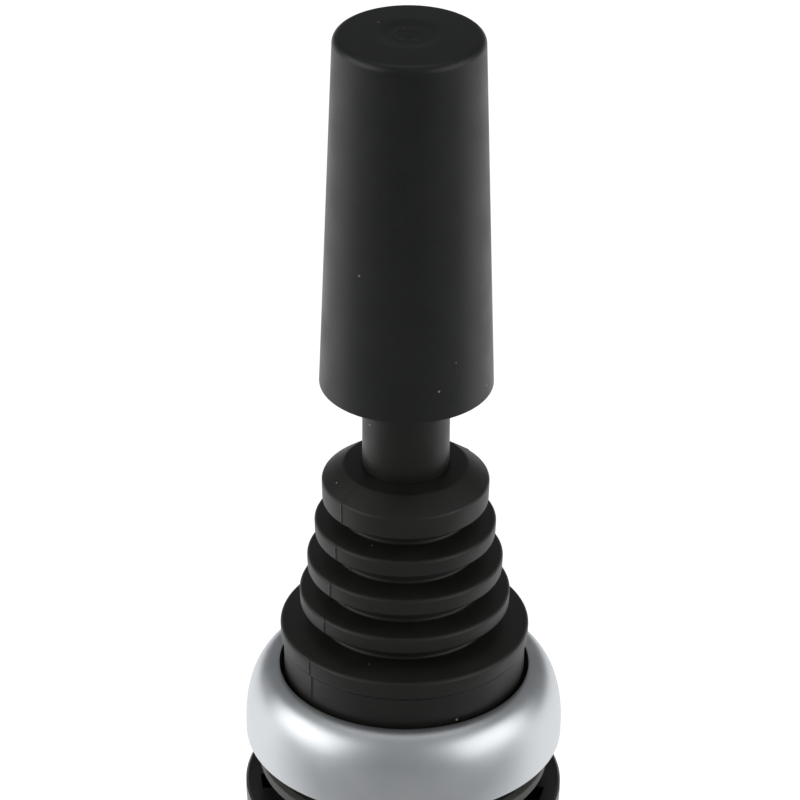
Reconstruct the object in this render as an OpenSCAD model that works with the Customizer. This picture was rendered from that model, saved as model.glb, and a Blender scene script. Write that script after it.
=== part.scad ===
// Two-axis industrial joystick head for a round 22 mm panel hole.
// +Z points out of the panel, towards the operator. The origin is the centre of the panel hole in the
// plane of the panel's front face. The lever pivots on a cardan joint just above that plane.

/* [Grip and stem] */
// Diameter of the grip at its top end
grip_top_d = 13.5; // [12:0.1:15]
// Diameter of the grip at its bottom end
grip_bottom_d = 15.86; // [14:0.02:18]
// Length of the grip
grip_length = 34.44; // [30:0.02:40]
// Radius of the grip's top edge
grip_edge_r = 0.8; // [0.4:0.1:1.4]
// Height of the grip's slightly domed top
grip_dome = 0.15; // [0.05:0.05:0.6]
// Diameter of the stem between bellows and grip
stem_d = 8; // [7.6:0.1:9]
// Length of stem that shows between bellows and grip
stem_show = 8.5; // [6:0.1:12]

/* [Bellows] */
// Diameter of the top fold of the bellows
first_fold_d = 15.5; // [15:0.1:16]
// Growth in diameter from one fold to the next
fold_step_d = 1.38; // [1.2:0.02:1.5]
// Diameter of the lowest fold
last_fold_d = 23.26; // [22.8:0.02:23.6]
// Distance from one fold to the next
fold_pitch = 3.63; // [3.5:0.01:3.8]
// Height of the rim of the top fold
first_fold_h = 2.3; // [2:0.1:2.6]
// Height of the rim of the other folds
fold_h = 1.7; // [1.4:0.1:1.9]
// Depth of the grooves between the folds
fold_depth = 1.9; // [1.6:0.1:2]
// Wall of the rubber
bellows_wall = 0.95; // [0.8:0.05:1]

/* [Bezel] */
// Largest diameter of the bezel
bezel_d = 29.74; // [29:0.02:31]
// Diameter of the opening for the bellows
bezel_opening_d = 23.3; // [23.2:0.05:23.5]
// Height of the bezel above its widest level
bezel_crown = 6.11; // [5.8:0.01:6.4]
// Height of the widest level of the bezel above the panel
bezel_equator_z = 4.5; // [4.4:0.1:4.8]

/* [Panel fixing] */
// Outside diameter of the threaded barrel
barrel_d = 22; // [21.9:0.05:22.2]
// Length of the barrel behind the panel's front face
barrel_length = 13; // [12.8:0.1:13.2]
// Outside diameter of the gasket
gasket_d = 27.2; // [26.4:0.2:28]
// Thickness of the gasket
gasket_t = 0.9; // [0.8:0.1:1]
// Space for the panel between the gasket and the ring nut as drawn
panel_space = 2.3; // [2.1:0.1:2.5]
// Outside diameter of the ring nut
nut_d = 29.9; // [29:0.1:31]
// Height of the ring nut
nut_h = 6; // [5:0.1:6.2]

/* [Lever mechanism] */
// Largest tilt of the lever to each side, in degrees
tilt_max = 12; // [8:1:12]
// Height of the pivot above the panel's front face
pivot_z = 2; // [1.9:0.1:2.1]
// Diameter of the steel lever rod
rod_d = 4; // [3.8:0.1:4.2]
// Diameter of the pivot pins
pin_d = 2; // [1.8:0.1:2.2]
// Distance of the push rods from the centre line
push_r = 7; // [6.9:0.1:7.1]

/* [Switch blocks] */
// Width of one switch block
switch_w = 8; // [7.8:0.1:8.2]
// Height of one switch block
switch_h = 24; // [23.5:0.5:26]
// Distance of the outer face of a switch block from the centre line
switch_outer = 14.5; // [14.4:0.1:15]

/* [Hidden] */
$fn = 96;
fit = 0.05;            // running clearance of a shaft or a guide, on the radius
gap = 0.06;            // assembly clearance between stacked pieces
sides = ["right", "back", "left", "front"];

// bellows levels
folds = 5;
grip_z0 = bezel_equator_z + 36.1;
grip_z1 = grip_z0 + grip_length;
bellows_top_z = grip_z0 - stem_show;
fold_z0 = bezel_equator_z + 23.8;      // bottom of the first fold's rim
skirt_r = last_fold_d / 2 - 0.43;
collar_r = skirt_r - bellows_wall - 0.2;

// barrel and bezel levels
flange_r = 12.9;
flange_top_z = bezel_equator_z + 0.5;
foot_t = 0.85;                         // bellows foot
clamp_t = 0.55;                        // clamp ring
ledge_z = flange_top_z + foot_t + clamp_t + 3 * gap;
bezel_low_z = bezel_equator_z - 1.36;
barrel_bore_r = 9.3;
base_bore_r = 9.6;
groove_depth = 0.45;                   // inner groove of the retaining ring
keyway_depth = 0.6;                    // outer groove for the key of the panel hole
lip_bore_r = 6.7;
lip_z = pivot_z + 6.6;
gate_screw_r = 8.3;                    // circle of the gate plate's screws
gate_hole_r = 0.8;
key_angle = 45;                        // key between the barrel and the pivot base
key_w = 2;
key_r = 10.3;
barrel_top_z = pivot_z + 8;
nut_z1 = -panel_space;
nut_z0 = nut_z1 - nut_h;

// pivot
fork_in = 3.2;
fork_out = 4.7;
fork_w = 4.8;
bush_d = 3.2;
plate_r = 8.2;
base_z1 = -6.55;
base_z0 = -10.5;
gate_t = 1.2;
gate_collar_d = 6;
gate_corner = 1.6;
gate_play = 0.12;
// the collar's offset in a corner of the gate, its own half width there, and the play
gate_half = (gate_t + barrel_top_z - pivot_z) * tan(tilt_max) / cos(tilt_max)
    + gate_collar_d / 2 / cos(tilt_max * sqrt(2)) + gate_play;

// push rods and switches
push_rest = 0.15;                      // free play between a push rod and the wobble plate
push_travel = push_r * tan(tilt_max);
push_d = 2.4;
push_head_d = 2.8;
push_z1 = pivot_z - push_rest;
push_z0 = -barrel_length - 1.6;
carrier_z1 = nut_z0 - 0.5;
carrier_plate_z1 = -barrel_length - 0.5;
carrier_z0 = carrier_plate_z1 - 3;
switch_z1 = carrier_z0 - gap;
switch_z0 = switch_z1 - switch_h;
switch_in = switch_w / 2 + 0.25;
switch_wall = 0.9;
cover_t = 0.9;
cavity_in = switch_in + switch_wall;
cavity_w = switch_w - 2 * switch_wall;
roof_z = switch_z1 - 1.25;
floor_z = switch_z0 + 1.1;
plunger_d = 3;
carriage_z1 = switch_z1 - 3.45;
carriage_z0 = carriage_z1 - 6.5;
bridge_z = carriage_z1 - 2;            // underside of the bridge bar
button_h = 0.65;
contact_z = bridge_z - button_h - push_travel - 0.12;
terminal_zs = [switch_z1 - 12.45, switch_z1 - 19.45];
pad_u = switch_outer - 3;
spring_z0 = floor_z + 3.9;

// ---------------------------------------------------------------- helpers

// A ring or sleeve between two radii and two levels
module tube(r_out, r_in, z0, z1) {
    difference() {
        translate([0, 0, z0]) cylinder(r = r_out, h = z1 - z0);
        translate([0, 0, z0 - 1]) cylinder(r = r_in, h = z1 - z0 + 2);
    }
}

// A round bar between two levels
module rod(r, z0, z1) {
    translate([0, 0, z0]) cylinder(r = r, h = z1 - z0);
}

// A block given by its low and high corners
module block(low, high) {
    translate(low) cube(high - low);
}

// Turns a piece drawn for the right-hand side (+X) to one of the four sides
module at_side(i) {
    rotate([0, 0, 90 * i]) children();
}

// A bar along X, centred on the pivot level
module bar_x(r, x0, x1) {
    translate([x0, 0, pivot_z]) rotate([0, 90, 0]) cylinder(r = r, h = x1 - x0);
}

// One ear of a fork that straddles the cross along X; tail is the level that it runs to
module ear(tail) {
    low = min(tail, pivot_z);
    high = max(tail, pivot_z);
    difference() {
        union() {
            bar_x(fork_w / 2, fork_in, fork_out);
            block([fork_in, -fork_w / 2, low], [fork_out, fork_w / 2, high]);
        }
        bar_x(bush_d / 2, fork_in - 1, fork_out + 1);
    }
}

// The pair of flanged-in bushes of one fork, along X
module bush_pair() {
    for (s = [0, 180]) {
        rotate([0, 0, s]) difference() {
            bar_x(bush_d / 2, fork_in, fork_out);
            bar_x(pin_d / 2 + fit, fork_in - 1, fork_out + 1);
        }
    }
}

// ---------------------------------------------------------------- lever

// Moulded grip: a slim cone with a rounded top edge, hollow for the insert and the stem
module grip() {
    top_r = grip_top_d / 2;
    arc = [for (a = [0:15:90]) [top_r - grip_edge_r * (1 - cos(a)), grip_z1 - grip_edge_r * (1 - sin(a))]];
    dome = [for (k = [0.75, 0.5, 0.25, 0]) [(top_r - grip_edge_r) * k, grip_z1 + grip_dome * (1 - k * k)]];
    color([0.07, 0.075, 0.075])
    difference() {
        rotate_extrude() polygon(concat([[0, grip_z0], [grip_bottom_d / 2, grip_z0]], arc, dome));
        rod(stem_d / 2 + 0.02, grip_z0 - 1, grip_z0 + 4);
        rod(rod_d / 2 + 0.2, grip_z0, grip_z0 + 20);
        rod(insert_r(), grip_z0 + 6, grip_z0 + 18);
    }
}

function insert_r() = 3.6;

// Brass insert moulded into the grip, with two retaining grooves
module grip_insert() {
    color([0.72, 0.6, 0.3])
    difference() {
        tube(insert_r(), rod_d / 2, grip_z0 + 6, grip_z0 + 18);
        for (z = [9, 14]) tube(insert_r() + 1, insert_r() - 0.4, grip_z0 + z, grip_z0 + z + 1.2);
    }
}

// Plastic sleeve over the rod, from inside the bellows into the foot of the grip
module lever_stem() {
    color([0.12, 0.12, 0.11])
    tube(stem_d / 2, rod_d / 2, fold_z0 + 0.9, grip_z0 + 4);
}

// Steel rod that carries the grip; its lower end is screwed into the wobble plate
module lever_rod() {
    color([0.6, 0.61, 0.62])
    rod(rod_d / 2, pivot_z + 4.3, grip_z0 + 18.5);
}

// Hardened sleeve on the rod where it meets the gate
module gate_collar() {
    color([0.5, 0.5, 0.52])
    tube(gate_collar_d / 2, rod_d / 2, pivot_z + 8.1, pivot_z + 13);
}

// Thin hexagon nut that locks the rod to the wobble plate
module rod_lock_nut() {
    color([0.65, 0.65, 0.66])
    difference() {
        translate([0, 0, pivot_z + 6.25]) cylinder(r = 3.75, h = 1.8, $fn = 6);
        rod(rod_d / 2, pivot_z, pivot_z + 12);
    }
}

// Wobble plate: its rim drives the push rods, its fork hangs over the cross along Y.
// The rim's lower face lies in the pivot plane, so the push rods move in proportion to the tilt.
module wobble_plate() {
    color([0.62, 0.6, 0.55])
    difference() {
        union() {
            rotate_extrude() polygon([
                [0, pivot_z + 4.1], [5.9, pivot_z + 4.1], [5.9, pivot_z], [plate_r, pivot_z],
                [plate_r, pivot_z + 3], [6.8, pivot_z + 5.6], [3.6, pivot_z + 5.6], [3.6, pivot_z + 6.2],
                [0, pivot_z + 6.2]]);
            for (s = [90, 270]) rotate([0, 0, s]) ear(pivot_z + 4.2);
        }
        rod(rod_d / 2, pivot_z + 3, pivot_z + 8);
    }
}

// Bronze bushes in the wobble plate's fork
module lever_bushes() {
    color([0.7, 0.5, 0.3])
    rotate([0, 0, 90]) bush_pair();
}

// ---------------------------------------------------------------- cardan cross

// Centre block of the cardan joint, drilled for the long pin along X and the short pins along Y
module cardan_cross() {
    color([0.55, 0.56, 0.57])
    difference() {
        block([-2.8, -2.8, pivot_z - 2], [2.8, 2.8, pivot_z + 2]);
        bar_x(pin_d / 2, -4, 4);
        for (s = [90, 270]) rotate([0, 0, s]) bar_x(pin_d / 2, 1.3, 4);
    }
}

module cross_pin_long() {
    color([0.7, 0.71, 0.72])
    bar_x(pin_d / 2, -fork_out, fork_out);
}

module cross_pins_short() {
    color([0.7, 0.71, 0.72])
    for (s = [90, 270]) rotate([0, 0, s]) bar_x(pin_d / 2, 1.3, fork_out);
}

// ---------------------------------------------------------------- front of the panel

function fold_r(i) = (i < folds - 1 ? first_fold_d + i * fold_step_d : last_fold_d) / 2;
function fold_bottom(i) = fold_z0 - i * fold_pitch;
function fold_height(i) = i == 0 ? first_fold_h : fold_h;
function groove_r(i) = fold_r(i) - fold_depth;
function groove_z(i) = (fold_bottom(i) + fold_bottom(i + 1) + fold_height(i + 1)) / 2;

// Outline of one fold, from its top edge down to the groove below it
function fold_outline(i) = let(r = fold_r(i), b = fold_bottom(i), t = b + fold_height(i)) concat(
    [[r - 0.4, t + 0.02], [r - 0.1, t - 0.1], [r, t - 0.35], [r - 0.06, b + 0.2], [r - 0.25, b]],
    i < folds - 1 ? [[groove_r(i) + 0.2, groove_z(i) + 0.35], [groove_r(i) + 0.2, groove_z(i) - 0.35]] : []);

// Inside of the folds, from the lowest upwards
function fold_inside(i) = [
    [fold_r(i) - 1.25, fold_bottom(i) + fold_height(i) / 2],
    [groove_r(i - 1) - bellows_wall + 0.1, groove_z(i - 1)]];

// Rubber bellows in one piece: it grips the stem at the top, and its foot is clamped under the bezel
module bellows() {
    disc_r = 5.7;
    outside = concat(
        [[stem_d / 2 + 0.02, bellows_top_z], [disc_r, bellows_top_z - 0.1]],
        [for (i = [0:folds - 1], p = fold_outline(i)) p],
        [[skirt_r, fold_bottom(folds - 1) - 0.2], [skirt_r, flange_top_z + foot_t + gap],
         [flange_r - 0.3, flange_top_z + foot_t + gap], [flange_r - 0.3, flange_top_z + gap],
         [skirt_r - bellows_wall, flange_top_z + gap], [skirt_r - bellows_wall, fold_bottom(folds - 1)]]);
    inside = concat(
        [for (i = [folds - 1:-1:1], p = fold_inside(i)) p],
        [[groove_r(0) - bellows_wall + 0.1, fold_z0 - 0.4], [stem_d / 2 + 0.02, fold_z0 + 0.8]]);
    color([0.075, 0.075, 0.07])
    rotate_extrude() polygon(concat(outside, inside));
}

// Steel ring that clamps the foot of the bellows under the bezel's ledge
module bellows_clamp_ring() {
    color([0.55, 0.56, 0.57])
    tube(flange_r - 0.05, skirt_r + 0.15, flange_top_z + foot_t + 2 * gap,
        flange_top_z + foot_t + 2 * gap + clamp_t);
}

// Bezel ring: a quarter of a rounded oval in section, pressed over the barrel's flange
module bezel_ring() {
    crest_r = bezel_opening_d / 2 + 0.1;
    swell = bezel_d / 2 - crest_r;
    roundness = 2 / 2.16;
    crown = [for (a = [0:5:90]) [crest_r + swell * pow(cos(a), roundness),
        bezel_equator_z + bezel_crown * pow(sin(a), roundness)]];
    color([0.72, 0.73, 0.74])
    rotate_extrude() polygon(concat(
        [[flange_r + 0.03, bezel_low_z + 0.25], [flange_r + 0.3, bezel_low_z],
         [bezel_d / 2 - 0.25, bezel_low_z], [bezel_d / 2 - 0.05, bezel_low_z + 0.2]],
        crown,
        [[crest_r - 0.1, bezel_equator_z + bezel_crown - 0.15], [crest_r - 0.1, ledge_z],
         [flange_r + 0.03, ledge_z]]));
}

// Flat rubber gasket between the barrel's flange and the panel
module panel_gasket() {
    color([0.2, 0.2, 0.2])
    tube(gasket_d / 2, barrel_d / 2 + 0.1, 0, gasket_t);
}

// Barrel: threaded body that passes through the panel, with the flange and the collar above it
module barrel() {
    color([0.13, 0.13, 0.13])
    difference() {
        union() {
            rod(barrel_d / 2, -barrel_length + 0.5, gasket_t + 0.1);
            translate([0, 0, -barrel_length]) cylinder(r1 = barrel_d / 2 - 0.5, r2 = barrel_d / 2, h = 0.5);
            rod(flange_r, gasket_t, flange_top_z);
            rod(collar_r, flange_top_z - 0.1, barrel_top_z);
        }
        rod(lip_bore_r, 0, barrel_top_z + 1);
        rod(barrel_bore_r, -barrel_length - 1, lip_z);
        rod(base_bore_r, -barrel_length - 1, base_z1 + fit);
        rod(base_bore_r + groove_depth, base_z0 - 1.05, base_z0 - fit);
        rotate([0, 0, key_angle])
            block([9, -key_w / 2 - fit, -barrel_length - 1], [key_r + fit, key_w / 2 + fit, base_z1 + fit]);
        rotate([0, 0, 90])
            block([barrel_d / 2 - keyway_depth, -1.2, -barrel_length - 1], [barrel_d / 2 + 1, 1.2, -0.2]);
        gate_screw_holes(lip_z - 0.1);
    }
}

// The four holes for the gate plate's screws, from a level upwards
module gate_screw_holes(z0) {
    for (i = [0:3]) at_side(i) translate([gate_screw_r, 0, 0]) rod(gate_hole_r, z0, barrel_top_z + 3);
}

// Gate plate: its square opening limits the lever's tilt and lets it reach the corners
module gate_plate() {
    inner = gate_half - gate_corner;
    low = barrel_top_z - 1;
    high = barrel_top_z + 3;
    color([0.6, 0.61, 0.62])
    difference() {
        rod(collar_r - 0.1, barrel_top_z + 0.01, barrel_top_z + gate_t);
        block([-gate_half, -inner, low], [gate_half, inner, high]);
        block([-inner, -gate_half, low], [inner, gate_half, high]);
        for (x = [-1, 1], y = [-1, 1]) translate([x * inner, y * inner, 0]) rod(gate_corner, low, high);
        gate_screw_holes(low);
    }
}

// Four small pan-head screws that hold the gate plate
module gate_screws() {
    top = barrel_top_z + gate_t;
    color([0.66, 0.66, 0.67])
    for (i = [0:3]) at_side(i) translate([gate_screw_r, 0, 0]) difference() {
        union() {
            rod(gate_hole_r - 0.02, lip_z + 0.1, top + 0.2);
            rod(1.3, top + 0.01, top + 0.8);
        }
        block([-1.5, -0.15, top + 0.5], [1.5, 0.15, top + 1]);
    }
}

// ---------------------------------------------------------------- behind the panel

// Pivot base: guides the push rods and carries the lower fork of the cardan joint
module pivot_base() {
    color([0.16, 0.16, 0.17])
    difference() {
        union() {
            rod(base_bore_r - fit, base_z0, base_z1);
            for (s = [0, 180]) rotate([0, 0, s]) ear(base_z1 - 0.5);
            rotate([0, 0, key_angle]) block([9, -key_w / 2, base_z0], [key_r, key_w / 2, base_z1]);
        }
        for (i = [0:3]) at_side(i) translate([push_r, 0, 0]) rod(push_d / 2 + fit, base_z0 - 1, base_z1 + 1);
    }
}

module pivot_bushes() {
    color([0.7, 0.5, 0.3])
    bush_pair();
}

// Open steel ring in the barrel's inner groove, under the pivot base
module base_retaining_ring() {
    color([0.5, 0.51, 0.52])
    difference() {
        tube(base_bore_r + groove_depth - fit, 8.6, base_z0 - 1, base_z0 - 2 * fit);
        rotate([0, 0, key_angle]) block([7, -2, base_z0 - 2], [12, 2, base_z0 + 1]);
    }
}

// Ring nut that clamps the panel, with wrench slots in its upper face
module ring_nut() {
    slots = 9;
    slot_w = 2.4;
    slot_r = 13.5;
    color([0.1, 0.1, 0.1])
    difference() {
        rotate_extrude() polygon([
            [barrel_d / 2 + 0.06, nut_z0], [nut_d / 2 - 0.8, nut_z0], [nut_d / 2 - 0.25, nut_z0 + 0.6],
            [nut_d / 2, nut_z1 - 1.2], [nut_d / 2, nut_z1 - 0.2], [nut_d / 2 - 0.2, nut_z1],
            [barrel_d / 2 + 0.06, nut_z1]]);
        for (k = [0:slots - 1])
            rotate([0, 0, 26 + k * 360 / slots])
                block([barrel_d / 2 - 1, -slot_w / 2, nut_z1 - 2.5], [slot_r, slot_w / 2, nut_z1 + 1]);
    }
}

// Contact carrier: its collar slips over the barrel's end, its plate holds the four switch blocks
module contact_carrier() {
    color([0.14, 0.14, 0.15])
    difference() {
        union() {
            rod(14.2, carrier_plate_z1 - 0.1, carrier_z1);
            rod(15, carrier_z0, carrier_plate_z1);
        }
        rod(barrel_d / 2 + 0.06, carrier_plate_z1, carrier_z1 + 1);
        rod(3, carrier_z0 - 1, carrier_z1);
        for (i = [0:3]) at_side(i) {
            translate([push_r, 0, 0]) rod(plunger_d / 2 + 0.4, carrier_z0 - 1, carrier_z1);
            block([11.15, -1.55, carrier_z0 - 1], [12.85, 1.55, carrier_z0 + 1.7]);
        }
        for (s = [45, 225]) rotate([0, 0, s])
            translate([10, 0, (carrier_z1 + carrier_plate_z1) / 2]) rotate([0, 90, 0]) cylinder(r = 1.25, h = 6);
    }
}

// Two slotted set screws that lock the carrier to the barrel
module carrier_lock_screws() {
    color([0.66, 0.66, 0.67])
    for (s = [45, 225]) rotate([0, 0, s])
        translate([barrel_d / 2 + 0.03, 0, (carrier_z1 + carrier_plate_z1) / 2]) rotate([0, 90, 0])
            difference() {
                cylinder(r = 1.23, h = 3.3);
                block([-0.2, -2, 2.6], [0.2, 2, 4]);
            }
}

// ---------------------------------------------------------------- push rods and switches

// Push rod with a round head under the wobble plate's rim
module push_rod(i) {
    head_r = push_head_d / 2;
    color([0.75, 0.73, 0.68])
    at_side(i) translate([push_r, 0, 0]) {
        translate([0, 0, push_z1 - head_r]) sphere(r = head_r);
        rod(head_r, push_z1 - head_r - 1.4, push_z1 - head_r);
        rod(push_d / 2, push_z0, push_z1 - head_r - 1.4);
    }
}

// Switch housing: an open box with a plunger hole, a spring boss, wire entries and a snap lug
module switch_housing(i) {
    half = switch_w / 2;
    color([0.17, 0.17, 0.18])
    at_side(i) difference() {
        union() {
            difference() {
                block([switch_in, -half, switch_z0], [switch_outer, half, switch_z1]);
                block([cavity_in, -cavity_w / 2, floor_z], [switch_outer + 1, cavity_w / 2, roof_z]);
            }
            translate([push_r, 0, 0]) rod(1.75, floor_z - 0.1, spring_z0);
            translate([push_r, 0, 0]) rod(0.9, spring_z0 - 0.1, spring_z0 + 1.5);
            block([11.2, -1.5, switch_z1 - 0.1], [12.8, 1.5, switch_z1 + 1.6]);
        }
        translate([push_r, 0, 0]) rod(plunger_d / 2 + fit, roof_z - 1, switch_z1 + 1);
        for (z = terminal_zs)
            block([pad_u - 2.2, cavity_w / 2 - 1, z - 1.2], [pad_u + 0.6, half + 1, z + 1.2]);
    }
}

// Outer cover of a switch, with screwdriver holes
module switch_cover(i) {
    color([0.2, 0.2, 0.21])
    at_side(i) difference() {
        block([switch_outer - cover_t, 0.04 - cavity_w / 2, floor_z + 0.04],
            [switch_outer, cavity_w / 2 - 0.04, roof_z - 0.04]);
        for (z = terminal_zs)
            translate([switch_outer - 3, 0, z]) rotate([0, 90, 0]) cylinder(r = 2, h = 5);
    }
}

// Plunger with the window that carries the contact bridge and the seat for the spring
module switch_plunger(i) {
    color([0.8, 0.78, 0.72])
    at_side(i) translate([push_r, 0, 0]) difference() {
        union() {
            rod(plunger_d / 2, carriage_z1 - 0.1, push_z0);
            block([-1.4, -1.3, carriage_z0], [1.4, 1.3, carriage_z1]);
            rod(0.9, carriage_z0 - 1.5, carriage_z0 + 0.1);
        }
        block([-0.8, -2, bridge_z], [0.8, 2, bridge_z + 1.2]);
    }
}

// Contact bridge: a bar across the plunger with a button under each end
module contact_bridge(i) {
    color([0.75, 0.6, 0.4])
    at_side(i) translate([push_r, 0, 0]) {
        block([-0.75, -2.8, bridge_z], [0.75, 2.8, bridge_z + 0.5]);
        for (s = [-1, 1]) translate([0, s * 2.2, 0]) rod(0.5, bridge_z - button_h, bridge_z + 0.1);
    }
}

// One fixed contact of a switch: button, arm, leg and terminal pad; s is the side, z the terminal level
module fixed_contact(s, z) {
    arm_v = cavity_w / 2 - 0.15;
    difference() {
        union() {
            translate([push_r, s * 2.2, 0]) rod(0.55, contact_z - 0.4, contact_z);
            block([push_r - 0.9, min(s * 1.5, s * arm_v), contact_z - 0.8],
                [push_r + 0.9, max(s * 1.5, s * arm_v), contact_z - 0.3]);
            block([push_r + 0.8, min(s * 2.2, s * arm_v), contact_z - 0.8],
                [pad_u + 0.5, max(s * 2.2, s * arm_v), contact_z - 0.3]);
            block([pad_u, min(s * 2.2, s * arm_v), z - 2.2], [pad_u + 0.5, max(s * 2.2, s * arm_v), contact_z - 0.4]);
            block([pad_u, -1.9, z - 2.2], [pad_u + 0.5, 1.9, z + 2.2]);
            block([pad_u, min(0, s * arm_v), z - 2.2], [pad_u + 0.5, max(0, s * arm_v), z + 2.2]);
        }
        translate([pad_u - 1, 0, z]) rotate([0, 90, 0]) cylinder(r = 0.95, h = 3);
    }
}

module fixed_contacts(i) {
    color([0.78, 0.62, 0.35])
    at_side(i) {
        fixed_contact(1, terminal_zs[0]);
        fixed_contact(-1, terminal_zs[1]);
    }
}

// Coil spring that returns the plunger and centres the lever
module return_spring(i) {
    turns = 6;
    steps = 16;
    corners = 6;
    mean_r = 1.3;
    wire_r = 0.2;
    z0 = spring_z0 + wire_r + 0.02;
    rise = carriage_z0 - spring_z0 - 2 * wire_r - 0.04;
    n = turns * steps;
    points = [for (k = [0:n], c = [0:corners - 1])
        let(a = 360 * k / steps, b = 360 * c / corners, r = mean_r + wire_r * cos(b))
        [r * cos(a), r * sin(a), z0 + rise * k / n + wire_r * sin(b)]];
    skin = [for (k = [0:n - 1], c = [0:corners - 1]) let(d = (c + 1) % corners)
        [k * corners + c, k * corners + d, (k + 1) * corners + d, (k + 1) * corners + c]];
    ends = [[for (c = [corners - 1:-1:0]) c], [for (c = [0:corners - 1]) n * corners + c]];
    color([0.7, 0.71, 0.72])
    at_side(i) translate([push_r, 0, 0]) polyhedron(points = points, faces = concat(skin, ends), convexity = 10);
}

// Two terminal screws for each switch
module terminal_screws() {
    color([0.68, 0.68, 0.66])
    for (i = [0:3], z = terminal_zs) at_side(i) translate([pad_u, 0, z]) rotate([0, 90, 0]) difference() {
        union() {
            translate([0, 0, -1.8]) cylinder(r = 0.93, h = 3.2);
            translate([0, 0, 1.27]) cylinder(r = 1.75, h = 0.7);
        }
        block([-2, -0.2, 1.6], [2, 0.2, 3]);
    }
}

// Two square clamp plates for each switch, between screw head and pad
module terminal_clamps() {
    color([0.7, 0.66, 0.5])
    for (i = [0:3], z = terminal_zs) at_side(i) difference() {
        block([pad_u + 0.53, -1.8, z - 1.8], [pad_u + 1.24, 1.8, z + 1.8]);
        translate([pad_u - 1, 0, z]) rotate([0, 90, 0]) cylinder(r = 1, h = 4);
    }
}

// ---------------------------------------------------------------- selection

grip();
grip_insert();
lever_stem();
lever_rod();
gate_collar();
rod_lock_nut();
wobble_plate();
lever_bushes();
cardan_cross();
cross_pin_long();
cross_pins_short();
bellows();
bellows_clamp_ring();
bezel_ring();
panel_gasket();
barrel();
gate_plate();
gate_screws();
pivot_base();
pivot_bushes();
base_retaining_ring();
ring_nut();
contact_carrier();
carrier_lock_screws();
push_rod(0);  // push_rod_right
push_rod(1);  // push_rod_back
push_rod(2);  // push_rod_left
push_rod(3);  // push_rod_front
switch_housing(0);  // switch_housing_right
switch_housing(1);  // switch_housing_back
switch_housing(2);  // switch_housing_left
switch_housing(3);  // switch_housing_front
switch_cover(0);  // switch_cover_right
switch_cover(1);  // switch_cover_back
switch_cover(2);  // switch_cover_left
switch_cover(3);  // switch_cover_front
switch_plunger(0);  // switch_plunger_right
switch_plunger(1);  // switch_plunger_back
switch_plunger(2);  // switch_plunger_left
switch_plunger(3);  // switch_plunger_front
contact_bridge(0);  // contact_bridge_right
contact_bridge(1);  // contact_bridge_back
contact_bridge(2);  // contact_bridge_left
contact_bridge(3);  // contact_bridge_front
fixed_contacts(0);  // fixed_contacts_right
fixed_contacts(1);  // fixed_contacts_back
fixed_contacts(2);  // fixed_contacts_left
fixed_contacts(3);  // fixed_contacts_front
return_spring(0);  // return_spring_right
return_spring(1);  // return_spring_back
return_spring(2);  // return_spring_left
return_spring(3);  // return_spring_front
terminal_screws();
terminal_clamps();
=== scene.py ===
# Two-axis industrial joystick head, dressed for a close product view. The CAD model gives every body,
# joint and size; this script gives the surfaces, the lathe-fine shapes, the studio and the camera. It
# works in metres, in the CAD model's own frame.
import math
import bmesh
import bpy
from mathutils import Matrix, Vector, noise


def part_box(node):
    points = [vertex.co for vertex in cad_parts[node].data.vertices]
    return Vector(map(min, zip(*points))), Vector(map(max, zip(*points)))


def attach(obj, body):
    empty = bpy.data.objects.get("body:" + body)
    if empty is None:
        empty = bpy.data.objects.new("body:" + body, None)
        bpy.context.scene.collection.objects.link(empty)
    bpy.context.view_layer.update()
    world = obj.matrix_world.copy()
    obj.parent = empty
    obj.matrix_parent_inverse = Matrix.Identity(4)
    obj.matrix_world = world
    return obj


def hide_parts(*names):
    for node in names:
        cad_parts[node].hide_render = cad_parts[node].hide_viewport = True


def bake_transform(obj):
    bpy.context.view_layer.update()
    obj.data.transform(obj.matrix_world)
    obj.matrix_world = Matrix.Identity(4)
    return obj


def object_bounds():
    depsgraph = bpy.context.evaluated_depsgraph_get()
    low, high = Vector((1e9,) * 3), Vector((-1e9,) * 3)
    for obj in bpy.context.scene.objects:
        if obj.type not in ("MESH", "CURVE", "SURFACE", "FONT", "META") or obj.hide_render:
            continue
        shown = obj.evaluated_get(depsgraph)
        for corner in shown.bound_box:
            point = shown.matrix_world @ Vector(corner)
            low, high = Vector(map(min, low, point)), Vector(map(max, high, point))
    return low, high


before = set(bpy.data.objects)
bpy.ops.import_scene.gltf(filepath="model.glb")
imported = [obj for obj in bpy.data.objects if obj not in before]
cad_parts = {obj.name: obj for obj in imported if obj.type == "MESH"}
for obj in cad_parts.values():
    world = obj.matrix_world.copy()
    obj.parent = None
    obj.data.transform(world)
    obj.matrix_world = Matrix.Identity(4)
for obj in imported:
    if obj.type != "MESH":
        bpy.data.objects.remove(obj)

cad_low, cad_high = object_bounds()


# ---------------------------------------------------------------- studio
# A plain pale floor under the switch blocks, a white backdrop that only the camera sees, and soft lamps:
# a large box at each side, a little in front, and a weak one overhead.

def lamp(name, place, aim, size, power):
    """A rectangular softbox at a place, turned towards a point; size is width and height."""
    data = bpy.data.lights.new(name, "AREA")
    data.shape = "RECTANGLE"
    data.size, data.size_y = size
    data.energy = power
    obj = bpy.data.objects.new(name, data)
    bpy.context.collection.objects.link(obj)
    obj.location = place
    obj.rotation_euler = (Vector(aim) - Vector(place)).to_track_quat("-Z", "Y").to_euler()
    return obj


def set_range(node, low, high, to_low, to_high):
    """Gives a Map Range node its two ranges."""
    for name, number in (("From Min", low), ("From Max", high), ("To Min", to_low), ("To Max", to_high)):
        node.inputs[name].default_value = number


FLOOR_HALF = 3.0
FLOOR_GAP = 0.0002
FLOOR_IN_VIEW = 0.78
FLOOR_IN_MIRRORS = 0.75


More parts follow.
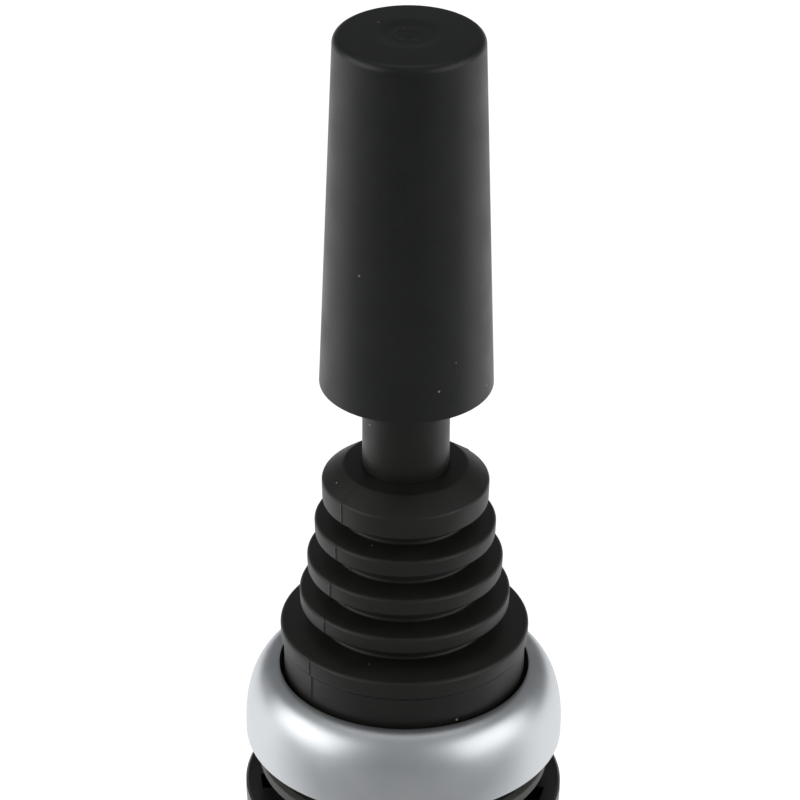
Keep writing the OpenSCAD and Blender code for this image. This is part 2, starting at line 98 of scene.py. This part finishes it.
def studio_floor():
    """A large square floor just under the object. It glows for the camera, and behind the object for mirror rays."""
    half = FLOOR_HALF
    level = cad_low[2] - FLOOR_GAP
    mesh = bpy.data.meshes.new("floor")
    corners = [(-half, -half), (half, -half), (half, half), (-half, half)]
    mesh.from_pydata([(x, y, level) for x, y in corners], [], [(0, 1, 2, 3)])
    floor = bpy.data.objects.new("floor", mesh)
    bpy.context.collection.objects.link(floor)
    mat = bpy.data.materials.new("pale_floor")
    mat.use_nodes = True
    nodes, links = mat.node_tree.nodes, mat.node_tree.links
    nodes.clear()
    out = nodes.new("ShaderNodeOutputMaterial")
    paint = nodes.new("ShaderNodeBsdfDiffuse")
    paint.inputs["Color"].default_value = (0.6, 0.6, 0.6, 1)
    glow = nodes.new("ShaderNodeEmission")
    glow.inputs["Color"].default_value = (1, 1, 1, 1)
    seen = nodes.new("ShaderNodeLightPath")
    mirrored = nodes.new("ShaderNodeMath")
    mirrored.operation = "MULTIPLY"
    place = nodes.new("ShaderNodeTexCoord")
    split = nodes.new("ShaderNodeSeparateXYZ")
    behind = nodes.new("ShaderNodeMapRange")
    behind.interpolation_type = "SMOOTHSTEP"
    set_range(behind, -0.05, 0.02, 0.0, FLOOR_IN_MIRRORS)
    strength = nodes.new("ShaderNodeMath")
    strength.operation = "MULTIPLY_ADD"
    strength.inputs[1].default_value = FLOOR_IN_VIEW
    both = nodes.new("ShaderNodeAddShader")
    links.new(place.outputs["Object"], split.inputs["Vector"])
    links.new(split.outputs["Y"], behind.inputs["Value"])
    links.new(behind.outputs["Result"], mirrored.inputs[1])
    links.new(seen.outputs["Is Glossy Ray"], mirrored.inputs[0])
    links.new(seen.outputs["Is Camera Ray"], strength.inputs[0])
    links.new(mirrored.outputs[0], strength.inputs[2])
    links.new(strength.outputs[0], glow.inputs["Strength"])
    links.new(paint.outputs[0], both.inputs[0])
    links.new(glow.outputs[0], both.inputs[1])
    links.new(both.outputs[0], out.inputs["Surface"])
    mesh.materials.append(mat)


def studio_world():
    """White to the camera. To everything else it is a dim room, brighter in front of the object than behind it."""
    world = bpy.data.worlds.new("studio")
    bpy.context.scene.world = world
    world.use_nodes = True
    nodes, links = world.node_tree.nodes, world.node_tree.links
    nodes.clear()
    out = nodes.new("ShaderNodeOutputWorld")
    place = nodes.new("ShaderNodeTexCoord")
    split = nodes.new("ShaderNodeSeparateXYZ")
    fade = nodes.new("ShaderNodeMapRange")
    fade.interpolation_type = "SMOOTHSTEP"
    set_range(fade, -0.2, 0.6, 0.30, 0.17)
    room = nodes.new("ShaderNodeBackground")
    room.inputs["Color"].default_value = (0.97, 0.99, 1.0, 1)
    white = nodes.new("ShaderNodeBackground")
    white.inputs["Color"].default_value = (1, 1, 1, 1)
    seen = nodes.new("ShaderNodeLightPath")
    choose = nodes.new("ShaderNodeMixShader")
    links.new(place.outputs["Generated"], split.inputs["Vector"])
    links.new(split.outputs["Y"], fade.inputs["Value"])
    links.new(fade.outputs["Result"], room.inputs["Strength"])
    links.new(seen.outputs["Is Camera Ray"], choose.inputs[0])
    links.new(room.outputs[0], choose.inputs[1])
    links.new(white.outputs[0], choose.inputs[2])
    links.new(choose.outputs[0], out.inputs["Surface"])


studio_floor()
studio_world()
middle = (0, 0, 0.035)
lamp("left_box", (-0.44, -0.10, 0.20), middle, (0.50, 0.36), 1.02)
lamp("right_box", (0.42, -0.16, 0.20), middle, (0.50, 0.36), 0.84)
lamp("top_box", (0.0, 0.10, 0.60), middle, (0.5, 0.3), 0.3)

scene = bpy.context.scene
scene.view_settings.view_transform = "Standard"

# The camera stands in front (-Y) and above, and looks down at the lever's middle. Its aim and its slight
# swing and roll put the bezel low in the frame and let the lever lean a little to the right.
MM = 0.001
CAMERA_DISTANCE = 0.41883
CAMERA_ELEVATION = math.radians(33.575)
CAMERA_DIP = math.radians(29.51)
CAMERA_SWING = math.radians(0.094)
CAMERA_ROLL = math.radians(0.44)
EQUATOR = 4.5 * MM
camera_data = bpy.data.cameras.new("camera")
camera_data.sensor_width = 36
camera_data.lens = 198.8
camera_data.clip_start = 0.01
camera = bpy.data.objects.new("camera", camera_data)
bpy.context.collection.objects.link(camera)
reach = CAMERA_DISTANCE * math.cos(CAMERA_ELEVATION)
rise = CAMERA_DISTANCE * math.sin(CAMERA_ELEVATION)
camera.matrix_world = (
    Matrix.Translation((0, -reach, EQUATOR + rise))
    @ Matrix.Rotation(CAMERA_SWING, 4, "Z")
    @ Matrix.Rotation(math.pi / 2 - CAMERA_DIP, 4, "X")
    @ Matrix.Rotation(CAMERA_ROLL, 4, "Z"))
scene.camera = camera


# ---------------------------------------------------------------- grip
# A slim tapered handle injection-moulded in black plastic with a fine matt texture. It was gated in the
# middle of its domed top, where a torn ring is left, and it is moulded over a brass insert that screws
# onto the lever rod.

def rounded(corners, step=12):
    """Outline through corners (r, z, fillet), in millimetres, each replaced by an arc of its fillet radius."""
    points = []
    count = len(corners)
    for i, (r, z, fillet) in enumerate(corners):
        here = Vector((r, z))
        before = Vector(corners[i - 1][:2]) - here
        after = Vector(corners[(i + 1) % count][:2]) - here
        turn = before.angle(after)
        if fillet <= 0 or turn > math.radians(178):
            points.append((r, z))
            continue
        cut = min(fillet / math.tan(turn / 2), 0.49 * before.length, 0.49 * after.length)
        radius = cut * math.tan(turn / 2)
        before.normalize()
        after.normalize()
        centre = here + (before + after).normalized() * (radius / math.sin(turn / 2))
        first = here + before * cut - centre
        last = here + after * cut - centre
        sweep = first.angle_signed(last)
        parts = max(2, round(abs(math.degrees(sweep)) / step))
        for k in range(parts + 1):
            spoke = first.copy()
            spoke.rotate(Matrix.Rotation(-sweep * k / parts, 2))
            points.append(tuple(centre + spoke))
    return points


SEAM_STEPS = (-1, -0.6, -0.35, -0.2, -0.1, 0, 0.1, 0.2, 0.35, 0.6, 1)


def around(count, seams=(), width=3.0):
    """Angles in degrees round a circle, with closer ones beside each seam."""
    step = 360 / count
    angles = {round(k * step, 4) for k in range(count)}
    for seam in seams:
        angles = {a for a in angles if abs((a - seam + 180) % 360 - 180) > width}
        angles |= {round((seam + width * t) % 360, 4) for t in SEAM_STEPS}
    return sorted(angles)


def lathe(name, outline, angles, relief=None):
    """A solid turned round +Z from a closed outline of (r, z) in millimetres; relief moves a point in or out."""
    mesh = bpy.data.meshes.new(name)
    bm = bmesh.new()
    rings = []
    for r, z in outline:
        if r < 1e-6:
            rings.append([bm.verts.new((0, 0, z * MM))])
            continue
        ring = []
        for a in angles:
            turned = relief(r, z, a) if relief else (r, z)
            t = math.radians(a)
            place = (turned[0] * math.cos(t) * MM, turned[0] * math.sin(t) * MM, turned[1] * MM)
            ring.append(bm.verts.new(place))
        rings.append(ring)
    count = len(angles)
    for ring, following in zip(rings, rings[1:] + rings[:1]):
        if len(ring) == 1 and len(following) == 1:
            continue
        for k in range(count):
            m = (k + 1) % count
            if len(ring) == 1:
                bm.faces.new((ring[0], following[m], following[k]))
            elif len(following) == 1:
                bm.faces.new((ring[k], ring[m], following[0]))
            else:
                bm.faces.new((ring[k], ring[m], following[m], following[k]))
    bmesh.ops.recalc_face_normals(bm, faces=bm.faces)
    bm.to_mesh(mesh)
    bm.free()
    mesh.polygons.foreach_set("use_smooth", [True] * len(mesh.polygons))
    mesh.set_sharp_from_angle(angle=math.radians(38))
    obj = bpy.data.objects.new(name, mesh)
    bpy.context.collection.objects.link(obj)
    return obj


def group_sockets(group, inputs, outputs):
    """Gives a shader node group its input and output sockets, and returns the two end nodes."""
    for name, kind, value in inputs:
        socket = group.interface.new_socket(name, in_out="INPUT", socket_type=kind)
        socket.default_value = value
    for name, kind in outputs:
        group.interface.new_socket(name, in_out="OUTPUT", socket_type=kind)
    return group.nodes.new("NodeGroupInput"), group.nodes.new("NodeGroupOutput")


def make_texture_group():
    """Fine moulded texture: a bump normal from small noise, and a broad soft cloud for the tone."""
    group = bpy.data.node_groups.new("moulded_texture", "ShaderNodeTree")
    inlet, outlet = group_sockets(group, [
        ("Grain per metre", "NodeSocketFloat", 9000.0),
        ("Depth", "NodeSocketFloat", 0.15)], [("Normal", "NodeSocketVector"), ("Cloud", "NodeSocketFloat")])
    nodes, links = group.nodes, group.links
    place = nodes.new("ShaderNodeTexCoord")
    fine = nodes.new("ShaderNodeTexNoise")
    fine.inputs["Detail"].default_value = 3
    broad = nodes.new("ShaderNodeTexNoise")
    broad.inputs["Scale"].default_value = 320
    broad.inputs["Detail"].default_value = 4
    bump = nodes.new("ShaderNodeBump")
    bump.inputs["Distance"].default_value = 0.00004
    links.new(place.outputs["Object"], fine.inputs["Vector"])
    links.new(place.outputs["Object"], broad.inputs["Vector"])
    links.new(inlet.outputs["Grain per metre"], fine.inputs["Scale"])
    links.new(inlet.outputs["Depth"], bump.inputs["Strength"])
    links.new(fine.outputs["Fac"], bump.inputs["Height"])
    links.new(bump.outputs["Normal"], outlet.inputs["Normal"])
    links.new(broad.outputs["Fac"], outlet.inputs["Cloud"])
    return group


def make_dust_group():
    """Specks of dust: a mask that is 1 on small round grains, most of them left out."""
    group = bpy.data.node_groups.new("dust_specks", "ShaderNodeTree")
    inlet, outlet = group_sockets(group, [
        ("Specks per metre", "NodeSocketFloat", 900.0),
        ("Size", "NodeSocketFloat", 0.10),
        ("Share", "NodeSocketFloat", 0.25)], [("Mask", "NodeSocketFloat")])
    nodes, links = group.nodes, group.links
    place = nodes.new("ShaderNodeTexCoord")
    cells = nodes.new("ShaderNodeTexVoronoi")
    links.new(place.outputs["Object"], cells.inputs["Vector"])
    links.new(inlet.outputs["Specks per metre"], cells.inputs["Scale"])
    split = nodes.new("ShaderNodeSeparateColor")
    links.new(cells.outputs["Color"], split.inputs["Color"])
    kept = nodes.new("ShaderNodeMath")
    kept.operation = "LESS_THAN"
    links.new(split.outputs["Red"], kept.inputs[0])
    links.new(inlet.outputs["Share"], kept.inputs[1])
    spread = nodes.new("ShaderNodeMath")
    spread.operation = "MULTIPLY"
    links.new(split.outputs["Green"], spread.inputs[0])
    links.new(inlet.outputs["Size"], spread.inputs[1])
    inside = nodes.new("ShaderNodeMath")
    inside.operation = "LESS_THAN"
    links.new(cells.outputs["Distance"], inside.inputs[0])
    links.new(spread.outputs[0], inside.inputs[1])
    mask = nodes.new("ShaderNodeMath")
    mask.operation = "MULTIPLY"
    links.new(kept.outputs[0], mask.inputs[0])
    links.new(inside.outputs[0], mask.inputs[1])
    links.new(mask.outputs[0], outlet.inputs["Mask"])
    return group


moulded_texture = make_texture_group()
dust_specks = make_dust_group()


def add_group(nodes, group, **values):
    """Places a node group in a material; values are its inputs, with _ for a space."""
    node = nodes.new("ShaderNodeGroup")
    node.node_tree = group
    for name, value in values.items():
        node.inputs[name.replace("_", " ")].default_value = value
    return node


def mixed(nodes, links, factor, low, high):
    """A colour between low and high; either may be a colour or an output socket."""
    mix = nodes.new("ShaderNodeMix")
    mix.data_type = "RGBA"
    links.new(factor, mix.inputs["Factor"])
    for name, value in (("A", low), ("B", high)):
        socket = [s for s in mix.inputs if s.name == name and s.type == "RGBA"][0]
        if isinstance(value, tuple):
            socket.default_value = (*value, 1)
        else:
            links.new(value, socket)
    return [s for s in mix.outputs if s.type == "RGBA"][0]


def ranged(nodes, links, value, low, high, to_low, to_high):
    """The value mapped from one range to another."""
    span = nodes.new("ShaderNodeMapRange")
    links.new(value, span.inputs["Value"])
    set_range(span, low, high, to_low, to_high)
    return span.outputs["Result"]


DUST_COLOUR = (0.30, 0.29, 0.27)


def moulded_plastic(name, colour, worn, roughness, grain=9000.0, depth=0.15, dust=None, specular=0.5):
    """Moulded plastic or rubber: two close tones, a fine texture, and dust specks where asked for."""
    mat = bpy.data.materials.new(name)
    mat.use_nodes = True
    nodes, links = mat.node_tree.nodes, mat.node_tree.links
    skin = nodes["Principled BSDF"]
    skin.inputs["Specular IOR Level"].default_value = specular
    texture = add_group(nodes, moulded_texture, Grain_per_metre=grain, Depth=depth)
    tone = mixed(nodes, links, ranged(nodes, links, texture.outputs["Cloud"], 0.35, 0.65, 0, 1), colour, worn)
    rough = ranged(nodes, links, texture.outputs["Cloud"], 0.3, 0.7, roughness - 0.04, roughness + 0.04)
    if dust:
        specks = add_group(nodes, dust_specks, Specks_per_metre=dust[0], Size=dust[1], Share=dust[2])
        tone = mixed(nodes, links, specks.outputs["Mask"], tone, DUST_COLOUR)
    links.new(tone, skin.inputs["Base Color"])
    links.new(rough, skin.inputs["Roughness"])
    links.new(texture.outputs["Normal"], skin.inputs["Normal"])
    return mat


def finish(obj, material, slot, body, *nodes):
    """Gives a new piece its material, rides it on a body and lets it stand for its CAD nodes; slot is not used."""
    obj.data.materials.append(material)
    if nodes:
        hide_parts(*nodes)
    if body:
        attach(obj, body)
    return obj


grip_low, grip_high = (corner[2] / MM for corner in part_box("grip"))
GRIP_BOTTOM_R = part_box("grip")[1][0] / MM
GRIP_TOP_R = 6.75
GRIP_EDGE = 0.8
GRIP_DOME = 0.15
STEM_R = 4.0
GATE_R = 1.25


def grip_relief(r, z, angle):
    """The torn ring that the moulding gate left in the middle of the top, and a shallow dish inside it."""
    if z < grip_high - 0.3 or r > 2.2:
        return r, z
    t = math.radians(angle)
    ragged = noise.noise(Vector((3.1 * math.cos(t), 3.1 * math.sin(t), 0.4)))
    torn = noise.noise(Vector((9 * math.cos(t), 9 * math.sin(t), 2.7)))
    ring = math.exp(-((r - GATE_R - 0.12 * ragged) / 0.10) ** 2)
    dish = 1 / (1 + math.exp((r - GATE_R + 0.15) / 0.06))
    height = 0.10 * max(0.15, 0.55 + 1.3 * torn + 0.5 * ragged)
    return r, z - GRIP_DOME + ring * height - 0.07 * dish + 0.03 * dish * ragged


def grip_outline():
    """Closed outline of the handle, with close rings where the gate mark is."""
    top = grip_high - GRIP_DOME
    ring_radii = [2.6, 2.2, 1.9, 1.7, 1.6, 1.52, 1.44, 1.36, 1.28, 1.2, 1.12, 1.04, 0.96, 0.85, 0.7, 0.5, 0.25]
    dome_r = GRIP_TOP_R - GRIP_EDGE
    wall = rounded([(STEM_R + 0.02, grip_low + 4, 0), (STEM_R + 0.02, grip_low, 0.15),
                    (GRIP_BOTTOM_R, grip_low, 0.18), (GRIP_TOP_R, top, GRIP_EDGE), (0.5 * dome_r, top, 0)], step=6)
    dome = [(r, grip_high - GRIP_DOME * (r / dome_r) ** 2) for r in [4.6, 4.0, 3.4] + ring_radii]
    return wall[:-1] + dome + [(0, grip_high), (0, grip_low + 4)]


grip = lathe("grip_moulding", grip_outline(), around(192), grip_relief)
grip_black = moulded_plastic("grip_black", (0.0055, 0.006, 0.0062), (0.0075, 0.008, 0.0082), 0.42,
                             depth=0.25, specular=0.42, dust=(700.0, 0.09, 0.12))
finish(grip, grip_black, "grip_plastic", "lever", "grip")


# ---------------------------------------------------------------- stem
# A turned plastic sleeve over the steel rod, between the grip and the bellows. It is a little browner
# than the grip.

stem_low, stem_high = (corner[2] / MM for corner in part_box("lever_stem"))
ROD_R = 2.0
stem_outline = rounded([(ROD_R, stem_low, 0), (STEM_R, stem_low, 0.3), (STEM_R, stem_high, 0.1),
                        (ROD_R, stem_high, 0)])
stem = lathe("stem_sleeve", stem_outline, around(128))
stem_black = moulded_plastic("stem_black", (0.0085, 0.0082, 0.007), (0.0115, 0.011, 0.0095), 0.44,
                             grain=6000.0, specular=0.42, dust=(600.0, 0.09, 0.1))
finish(stem, stem_black, "stem_plastic", "lever", "lever_stem")


# ---------------------------------------------------------------- bellows
# One black rubber moulding with five stepped folds. It grips the stem at the top and goes down into the
# bezel as a plain skirt. The two halves of its mould left a thin parting line down the front left and the
# back right. It is built as an upper and a lower half, and they meet in the
# groove between folds.

PARTING = (221.0, 41.0)
PARTING_WIDTH = 0.09
PARTING_HEIGHT = 0.075
FOLDS = [  # radius, bottom of the rim, top of the rim
    (7.74, 28.28, 30.54), (8.42, 24.68, 26.42), (9.11, 20.98, 22.70), (9.81, 17.32, 19.00), (11.62, 13.76, 15.36)]
GROOVE_DEPTH = 1.9
RUBBER_WALL = 0.95
BELLOWS_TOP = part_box("bellows")[1][2] / MM
FOOT_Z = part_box("bellows")[0][2] / MM
FOOT_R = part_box("bellows")[1][0] / MM
SKIRT_R = 11.2


def groove(i):
    """Radius and level of the groove under a fold."""
    return FOLDS[i][0] - GROOVE_DEPTH, (FOLDS[i][1] + FOLDS[i + 1][2]) / 2


def fold_corners(i):
    """Outer corners of one fold and of the flanks beside it, from the top down."""
    r, low, high = FOLDS[i]
    corners = [(r - 0.03, high, 0.38), (r - 0.10, low + 0.02, 0.30)]
    if i > 0:
        corners.insert(0, (groove(i - 1)[0], high + 0.42, 0.30))
    if i < len(FOLDS) - 1:
        corners.append((groove(i)[0], low + 0.12, 0.30))
    return corners


def inner_corner(i):
    """Corners of the rubber's inside behind a fold and in the groove above it, from below upwards."""
    r, low, high = FOLDS[i]
    r_above, z_above = groove(i - 1)
    return [(r - 1.25, (low + high) / 2, 0.3), (r_above - RUBBER_WALL + 0.05, z_above, 0.3)]


def parting_relief(r, z, angle):
    """A thin raised line along the mould's parting, strongest on the rims."""
    height = 0
    for seam in PARTING:
        off = (angle - seam + 180) % 360 - 180
        height += math.exp(-(off * math.radians(1) * r / PARTING_WIDTH) ** 2)
    return (r + PARTING_HEIGHT * height, z) if r > 5.0 and z > FOOT_Z + 1 else (r, z)


SPLIT = 2
split_r, split_z = groove(SPLIT)
split_inner = split_r - RUBBER_WALL + 0.05
upper = [(STEM_R + 0.02, BELLOWS_TOP, 0.06), (5.7, BELLOWS_TOP - 0.08, 0.5)]
for i in range(SPLIT + 1):
    upper += fold_corners(i)
upper += [(split_r, split_z, 0), (split_inner, split_z, 0)]
for i in range(SPLIT, 0, -1):
    upper += inner_corner(i)
upper += [(groove(0)[0] - RUBBER_WALL, FOLDS[0][1] - 0.4, 0.2), (STEM_R + 0.02, FOLDS[0][1] + 0.8, 0)]
lower = [(split_inner, split_z, 0), (split_r, split_z, 0)]
for i in range(SPLIT + 1, len(FOLDS)):
    lower += fold_corners(i)
lower += [(SKIRT_R + 0.06, FOLDS[-1][1] - 0.35, 0.2), (SKIRT_R, FOOT_Z + 0.85, 0.2), (FOOT_R, FOOT_Z + 0.85, 0.1),
          (FOOT_R, FOOT_Z, 0.1), (SKIRT_R - RUBBER_WALL, FOOT_Z, 0.1), (SKIRT_R - RUBBER_WALL, FOLDS[-1][1], 0.3)]
lower += inner_corner(len(FOLDS) - 1)[:1] + [(groove(3)[0] - RUBBER_WALL + 0.05, groove(3)[1], 0.3)]
lower += [(FOLDS[3][0] - 1.25, (FOLDS[3][1] + FOLDS[3][2]) / 2, 0.3)]
rubber = moulded_plastic("bellows_rubber", (0.0085, 0.0082, 0.0068), (0.0115, 0.011, 0.0092), 0.48,
                         grain=5000.0, specular=0.42, depth=0.12, dust=(620.0, 0.11, 0.22))
bellows_angles = around(176, PARTING)
bellows_upper = lathe("bellows_upper", rounded(upper), bellows_angles, parting_relief)
bellows_lower = lathe("bellows_lower", rounded(lower), bellows_angles, parting_relief)
for half in (bellows_upper, bellows_lower):
    finish(half, rubber, "bellows_rubber", None, "bellows")
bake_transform(bellows_upper)
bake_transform(bellows_lower)


# ---------------------------------------------------------------- bezel
# A ring turned from aluminium and given a satin silver finish. Its section is a quarter of a rounded oval
# that runs up to the opening, and it is pressed over the barrel's flange, where it also holds the foot of
# the bellows.

BEZEL_R = 14.87
BEZEL_CREST_R = 11.75
BEZEL_CROWN = 6.11
BEZEL_EQUATOR = 4.5
BEZEL_ROUNDNESS = 2 / 2.16
BEZEL_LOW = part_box("bezel_ring")[0][2] / MM
BEZEL_BORE_R = 12.93
LEDGE_Z = 6.58


def bezel_outline():
    """Closed outline of the ring: the rounded crown, the lip round the opening, and the plain inside and foot."""
    swell = BEZEL_R - BEZEL_CREST_R
    crown = []
    for k in range(61):
        a = math.radians(1.5 * k)
        crown.append((BEZEL_CREST_R + swell * math.cos(a) ** BEZEL_ROUNDNESS,
                      BEZEL_EQUATOR + BEZEL_CROWN * math.sin(a) ** BEZEL_ROUNDNESS))
    lip = [(BEZEL_CREST_R - 0.05, BEZEL_EQUATOR + BEZEL_CROWN - 0.02),
           (BEZEL_CREST_R - 0.09, BEZEL_EQUATOR + BEZEL_CROWN - 0.08),
           (BEZEL_CREST_R - 0.10, BEZEL_EQUATOR + BEZEL_CROWN - 0.16)]
    inside = [(BEZEL_CREST_R - 0.10, LEDGE_Z), (BEZEL_BORE_R, LEDGE_Z)]
    foot = rounded([(BEZEL_BORE_R, LEDGE_Z, 0), (BEZEL_BORE_R, BEZEL_LOW, 0.2), (BEZEL_R - 0.02, BEZEL_LOW, 0.22),
                    (BEZEL_R, BEZEL_EQUATOR, 0)])
    return crown[1:-1] + lip + inside + foot[1:]


def satin_metal(name, colour, shade, roughness, brushed=0.0, grain=4000.0, depth=0.05):
    """Metal with a satin or machined finish: a slow change of tone and a fine bump, drawn out round Z if brushed."""
    mat = bpy.data.materials.new(name)
    mat.use_nodes = True
    nodes, links = mat.node_tree.nodes, mat.node_tree.links
    skin = nodes["Principled BSDF"]
    skin.inputs["Metallic"].default_value = 1.0
    skin.inputs["Anisotropic"].default_value = brushed
    texture = add_group(nodes, moulded_texture, Grain_per_metre=grain, Depth=depth)
    tone = mixed(nodes, links, ranged(nodes, links, texture.outputs["Cloud"], 0.35, 0.65, 0, 1), colour, shade)
    links.new(tone, skin.inputs["Base Color"])
    links.new(ranged(nodes, links, texture.outputs["Cloud"], 0.3, 0.7, roughness - 0.03, roughness + 0.03),
              skin.inputs["Roughness"])
    links.new(texture.outputs["Normal"], skin.inputs["Normal"])
    return mat


bezel = lathe("bezel_turned", bezel_outline(), around(256))
bezel_satin = satin_metal("bezel_satin", (0.66, 0.685, 0.71), (0.69, 0.71, 0.73), 0.40)
finish(bezel, bezel_satin, "bezel_metal", "body", "bezel_ring")


# ---------------------------------------------------------------- gasket
# A flat rubber washer that seals the barrel's flange against the front of the panel.

gasket_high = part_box("panel_gasket")[1]
GASKET_R = gasket_high[0] / MM
GASKET_BORE_R = 11.1
GASKET_T = gasket_high[2] / MM
gasket = lathe("gasket_washer", rounded([(GASKET_BORE_R, 0, 0.1), (GASKET_R, 0, 0.15), (GASKET_R, GASKET_T, 0.15),
                                         (GASKET_BORE_R, GASKET_T, 0.1)]), around(128))
gasket_grey = moulded_plastic("gasket_grey", (0.09, 0.088, 0.082), (0.12, 0.118, 0.11), 0.6, grain=3500.0)
finish(gasket, gasket_grey, "gasket_rubber", "body", "panel_gasket")


# ---------------------------------------------------------------- barrel
# The body of the head, moulded in black glass-filled plastic: a flange under the bezel, and a threaded
# barrel that goes through the panel, with a groove along its back for the key of a panel hole.

BARREL_R = 11.0
THREAD_PITCH = 1.5
THREAD_DEPTH = 0.75
KEYWAY = 90.0
KEYWAY_HALF = 1.2
KEYWAY_FLOOR = 10.4
FLANGE_R = 12.9
FLANGE_LOW = 0.9
FLANGE_HIGH = 5.0
COLLAR_R = 10.05
COLLAR_HIGH = 10.0
BORE_R = 9.3
BASE_BORE_R = 9.6
LIP_R = 6.7
LIP_Z = 8.6
BASE_TOP = -6.5
BARREL_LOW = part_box("barrel")[0][2] / MM


def thread_relief(r, z, angle):
    """The screw thread on the barrel's outside, with the keyway cut along it."""
    if r < BARREL_R - 0.6 or z > FLANGE_LOW - 0.05:
        return r, z
    phase = (z / THREAD_PITCH - angle / 360) % 1
    ridge = min(1, max(0, 2.6 * (1 - abs(2 * phase - 1)) - 0.45))
    fade = min(1, max(0, (FLANGE_LOW - 0.3 - z) / 0.4))
    r -= THREAD_DEPTH * (1 - ridge) * fade
    off = math.radians((angle - KEYWAY + 180) % 360 - 180)
    if abs(math.sin(off) * BARREL_R) < KEYWAY_HALF and abs(off) < 1:
        r = min(r, KEYWAY_FLOOR / math.cos(off))
    return r, z


RING_STEP = 0.11
thread_rings = int((FLANGE_LOW - BARREL_LOW - 0.5) / RING_STEP)
thread_levels = [(BARREL_R, FLANGE_LOW - 0.05 - RING_STEP * k) for k in range(thread_rings)]
barrel_outline = [(BARREL_R, FLANGE_LOW)] + thread_levels + [
    (BARREL_R - 0.45, BARREL_LOW), (BASE_BORE_R, BARREL_LOW), (BASE_BORE_R, BASE_TOP), (BORE_R, BASE_TOP),
    (BORE_R, LIP_Z), (LIP_R, LIP_Z), (LIP_R, COLLAR_HIGH), (COLLAR_R, COLLAR_HIGH), (COLLAR_R, FLANGE_HIGH)]
barrel_outline += rounded([(COLLAR_R, FLANGE_HIGH, 0), (FLANGE_R, FLANGE_HIGH, 0.15), (FLANGE_R, FLANGE_LOW, 0.15),
                           (BARREL_R, FLANGE_LOW, 0)])[1:-1]
barrel = lathe("barrel_threaded", barrel_outline, around(144, (KEYWAY - 6.3, KEYWAY + 6.3), 2.0), thread_relief)
satin_black = moulded_plastic("satin_black", (0.0065, 0.0065, 0.0062), (0.0095, 0.0095, 0.009), 0.36,
                              grain=3000.0, depth=0.08, specular=0.4)
finish(barrel, satin_black, "black_plastic", "body", "barrel")


# ---------------------------------------------------------------- ring nut
# The nut that clamps the panel against the gasket, moulded in the barrel's black plastic. A wrench turns
# it by the radial slots in its upper face. It keeps its CAD shape, with the edges eased as a mould leaves
# them.

def dress(node, material, ease=0.0):
    """Gives a CAD node its material and, if asked for, eased edges of that width in millimetres."""
    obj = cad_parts[node]
    obj.data.materials.clear()
    obj.data.materials.append(material)
    if ease:
        bevel = obj.modifiers.new("eased_edges", "BEVEL")
        bevel.width = ease * MM
        bevel.segments = 2
        bevel.limit_method = "ANGLE"
        bevel.angle_limit = math.radians(40)


dress("ring_nut", satin_black, ease=0.12)


# ---------------------------------------------------------------- gate
# A zinc-plated steel plate inside the barrel, held by four small screws. Its square opening stops the
# lever's tilt, where a ground steel collar on the rod meets it.

plated = satin_metal("zinc_plated", (0.62, 0.62, 0.6), (0.55, 0.56, 0.57), 0.3)
ground = satin_metal("ground_steel", (0.56, 0.56, 0.57), (0.5, 0.5, 0.52), 0.22, brushed=0.4)
dress("gate_plate", plated)
dress("gate_screws", plated)
dress("gate_collar", ground)


# ---------------------------------------------------------------- bellows clamp ring
# A plated steel ring that holds the foot of the bellows down on the barrel. The bezel hides it.

dress("bellows_clamp_ring", plated)


# ---------------------------------------------------------------- lever rod
# The ground steel rod that carries the stem and the grip. It is screwed into a brass insert in the grip
# and into the wobble plate, where a thin plated nut locks it.

brass = satin_metal("turned_brass", (0.72, 0.54, 0.26), (0.66, 0.48, 0.22), 0.25)
dress("lever_rod", ground)
dress("rod_lock_nut", plated)
dress("grip_insert", brass)


# ---------------------------------------------------------------- cardan joint
# The wobble plate and the pivot base are zinc die castings with a fork each. Their forks hold a ground
# steel cross on three pins, which turn in sintered bronze bushes. An open ring of spring wire keeps the
# base in the barrel.

casting = satin_metal("zinc_casting", (0.42, 0.42, 0.43), (0.36, 0.37, 0.38), 0.42, grain=2500.0, depth=0.15)
bronze = satin_metal("sintered_bronze", (0.55, 0.36, 0.2), (0.48, 0.31, 0.17), 0.45, grain=7000.0, depth=0.2)
wire = satin_metal("spring_wire", (0.42, 0.42, 0.43), (0.36, 0.36, 0.38), 0.28)
for node in ("wobble_plate", "pivot_base"):
    dress(node, casting)
for node in ("lever_bushes", "pivot_bushes"):
    dress(node, bronze)
for node in ("cardan_cross", "cross_pin_long", "cross_pins_short"):
    dress(node, ground)
dress("base_retaining_ring", wire)


# ---------------------------------------------------------------- contact carrier
# A round carrier of dark grey plastic, pushed on the barrel's end and locked there by two slotted plated
# screws. The four switch blocks hang under it.

dark_plastic = moulded_plastic("switch_grey", (0.035, 0.036, 0.038), (0.045, 0.046, 0.048), 0.45, grain=4000.0)
dress("contact_carrier", dark_plastic, ease=0.15)
dress("carrier_lock_screws", plated)


# ---------------------------------------------------------------- switch blocks
# One block for each direction: a housing and a cover of the carrier's plastic, a push rod and a plunger
# of natural acetal, stamped brass contacts, and a wire spring. Plated screws and clamps hold the
# conductors.

SIDES = ("right", "back", "left", "front")
acetal = moulded_plastic("natural_acetal", (0.62, 0.59, 0.5), (0.66, 0.63, 0.54), 0.35, grain=2500.0, depth=0.04)
for side in SIDES:
    dress("switch_housing_" + side, dark_plastic, ease=0.15)
    dress("switch_cover_" + side, dark_plastic, ease=0.08)
    dress("switch_plunger_" + side, acetal)
    dress("push_rod_" + side, acetal)
    dress("contact_bridge_" + side, brass)
    dress("fixed_contacts_" + side, brass)
    dress("return_spring_" + side, wire)
dress("terminal_screws", plated)
dress("terminal_clamps", plated)
